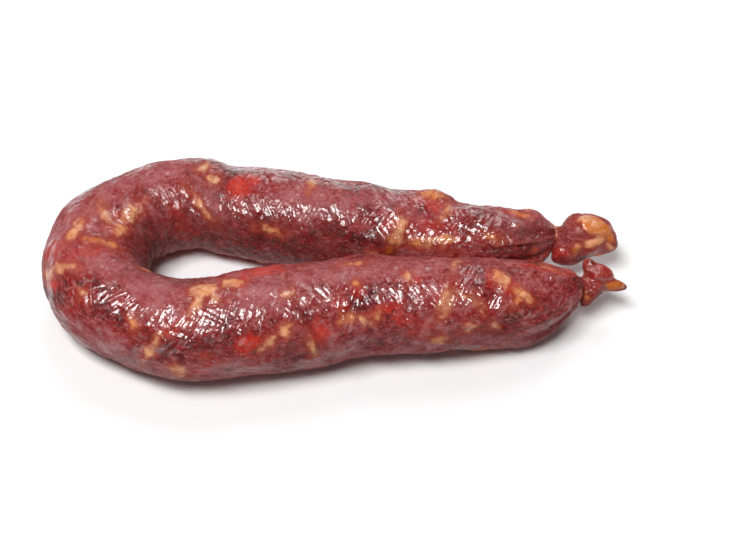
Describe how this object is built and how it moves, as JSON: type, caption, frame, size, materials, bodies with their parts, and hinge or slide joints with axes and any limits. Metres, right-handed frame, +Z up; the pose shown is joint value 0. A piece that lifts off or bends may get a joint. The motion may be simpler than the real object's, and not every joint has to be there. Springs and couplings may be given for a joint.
{
  "type": "cured sausage",
  "caption": "Horseshoe-shaped cured sausage in a natural casing, folded back on itself, with a pinched end and a knob of leftover casing on each leg; lies flat.",
  "frame": {"origin": "middle of the footprint, on the table that the sausage lies on", "axes": "+X from the bend towards the two pinched ends, +Y from the near, longer leg towards the far, shorter leg, +Z up from the table"},
  "size_m": [0.2007, 0.0915, 0.0334],
  "materials": {
    "casing": "moist semi-gloss natural casing over mauve-red meat with cream and orange fat"
  },
  "bodies": {
    "root": {"sausage": "casing"}
  },
  "joints": []
}
